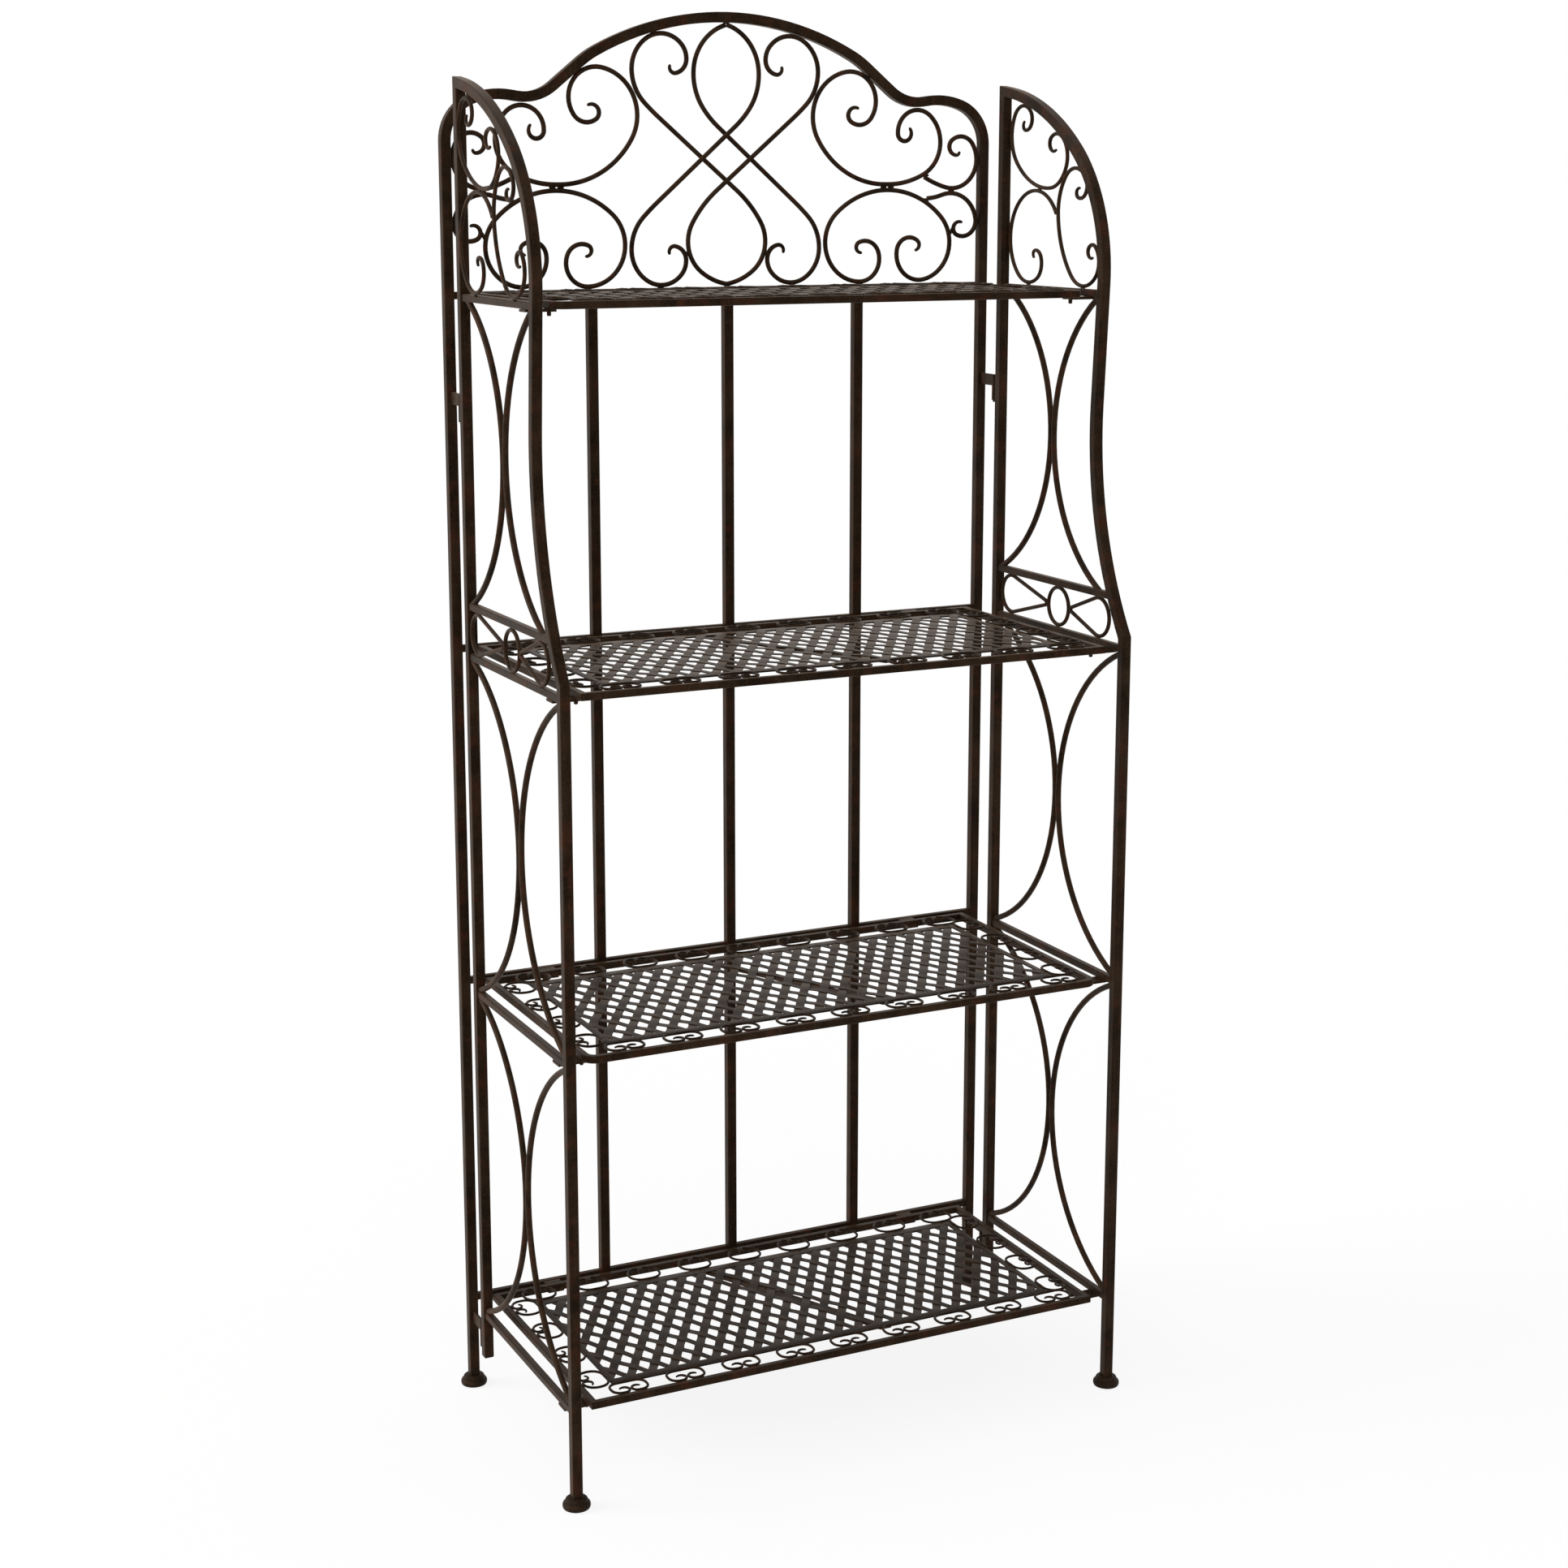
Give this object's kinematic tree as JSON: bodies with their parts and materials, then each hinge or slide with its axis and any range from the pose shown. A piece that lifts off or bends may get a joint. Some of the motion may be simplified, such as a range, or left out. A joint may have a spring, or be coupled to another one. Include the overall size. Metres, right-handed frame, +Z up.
{
  "type": "bakers rack",
  "caption": "Tall folding steel bakers rack with woven shelves, a bow-shaped crest with scrollwork, and swinging side frames with scrolls and bowed arcs.",
  "frame": {"origin": "on the floor under the middle of the rack, half way between the front and back feet", "axes": "+X to the rack's right as seen from the front, +Y from front to back, +Z up"},
  "size_m": [0.7828, 0.4023, 1.7677],
  "materials": {
    "frame_steel": "satin dark bronze paint with a rubbed, mottled look",
    "scroll_steel": "satin dark bronze paint",
    "weave_steel": "satin dark bronze paint with lighter rubbed edges",
    "hinge_steel": "satin dark bronze paint",
    "foot_plastic": "matt dark brown"
  },
  "bodies": {
    "back_frame": {"crest": "frame_steel", "back_post_left": "frame_steel", "back_post_right": "frame_steel", "back_crossbars": "frame_steel", "back_uprights": "frame_steel", "centre_scrolls_front": "scroll_steel", "centre_scrolls_rear": "scroll_steel", "upper_c_scrolls": "scroll_steel", "lower_c_scrolls": "scroll_steel", "small_c_scrolls": "scroll_steel", "shelf_hinge_straps": "hinge_steel", "side_hinge_hooks": "hinge_steel", "back_feet": "foot_plastic"},
    "side_left": {"left_front_leg": "frame_steel", "left_arch": "frame_steel", "left_rear_post": "frame_steel", "left_rails": "frame_steel", "left_belt_rail": "frame_steel", "left_belt_ornament": "scroll_steel", "left_lens_arcs": "scroll_steel", "left_side_scrolls": "scroll_steel", "left_shelf_tabs": "hinge_steel", "left_hinge_sleeves": "hinge_steel", "left_front_foot": "foot_plastic", "left_rear_post_plug": "foot_plastic"},
    "side_right": {"right_front_leg": "frame_steel", "right_arch": "frame_steel", "right_rear_post": "frame_steel", "right_rails": "frame_steel", "right_belt_rail": "frame_steel", "right_belt_ornament": "scroll_steel", "right_lens_arcs": "scroll_steel", "right_side_scrolls": "scroll_steel", "right_shelf_tabs": "hinge_steel", "right_hinge_sleeves": "hinge_steel", "right_front_foot": "foot_plastic", "right_rear_post_plug": "foot_plastic"},
    "shelf_1": {"shelf_1_frame": "frame_steel", "shelf_1_woven_panel": "weave_steel", "shelf_1_brace": "weave_steel", "shelf_1_rim_scrolls": "scroll_steel", "shelf_1_pegs": "hinge_steel"},
    "shelf_2": {"shelf_2_frame": "frame_steel", "shelf_2_woven_panel": "weave_steel", "shelf_2_brace": "weave_steel", "shelf_2_rim_scrolls": "scroll_steel", "shelf_2_pegs": "hinge_steel"},
    "shelf_3": {"shelf_3_frame": "frame_steel", "shelf_3_woven_panel": "weave_steel", "shelf_3_brace": "weave_steel", "shelf_3_rim_scrolls": "scroll_steel", "shelf_3_pegs": "hinge_steel"},
    "shelf_4": {"shelf_4_frame": "frame_steel", "shelf_4_woven_panel": "weave_steel", "shelf_4_brace": "weave_steel", "shelf_4_rim_scrolls": "scroll_steel", "shelf_4_pegs": "hinge_steel"}
  },
  "joints": [
    {"name": "side_left_swing", "type": "hinge", "parent": "back_frame", "child": "side_left", "pos_m": [-0.37435, 0.143, 0.7], "axis": [0, 0, -1], "range_deg": [0, 90]},
    {"name": "side_right_swing", "type": "hinge", "parent": "back_frame", "child": "side_right", "pos_m": [0.37435, 0.143, 0.7], "axis": [0, 0, 1], "range_deg": [0, 90]},
    {"name": "shelf_1_fold", "type": "hinge", "parent": "back_frame", "child": "shelf_1", "pos_m": [0, 0.1665, 0.1215], "axis": [-1, 0, 0], "range_deg": [0, 90]},
    {"name": "shelf_2_fold", "type": "hinge", "parent": "back_frame", "child": "shelf_2", "pos_m": [0, 0.1665, 0.5535], "axis": [-1, 0, 0], "range_deg": [0, 90]},
    {"name": "shelf_3_fold", "type": "hinge", "parent": "back_frame", "child": "shelf_3", "pos_m": [0, 0.1665, 0.9855], "axis": [-1, 0, 0], "range_deg": [0, 90]},
    {"name": "shelf_4_fold", "type": "hinge", "parent": "back_frame", "child": "shelf_4", "pos_m": [0, 0.1665, 1.4225], "axis": [-1, 0, 0], "range_deg": [0, 90]}
  ]
}
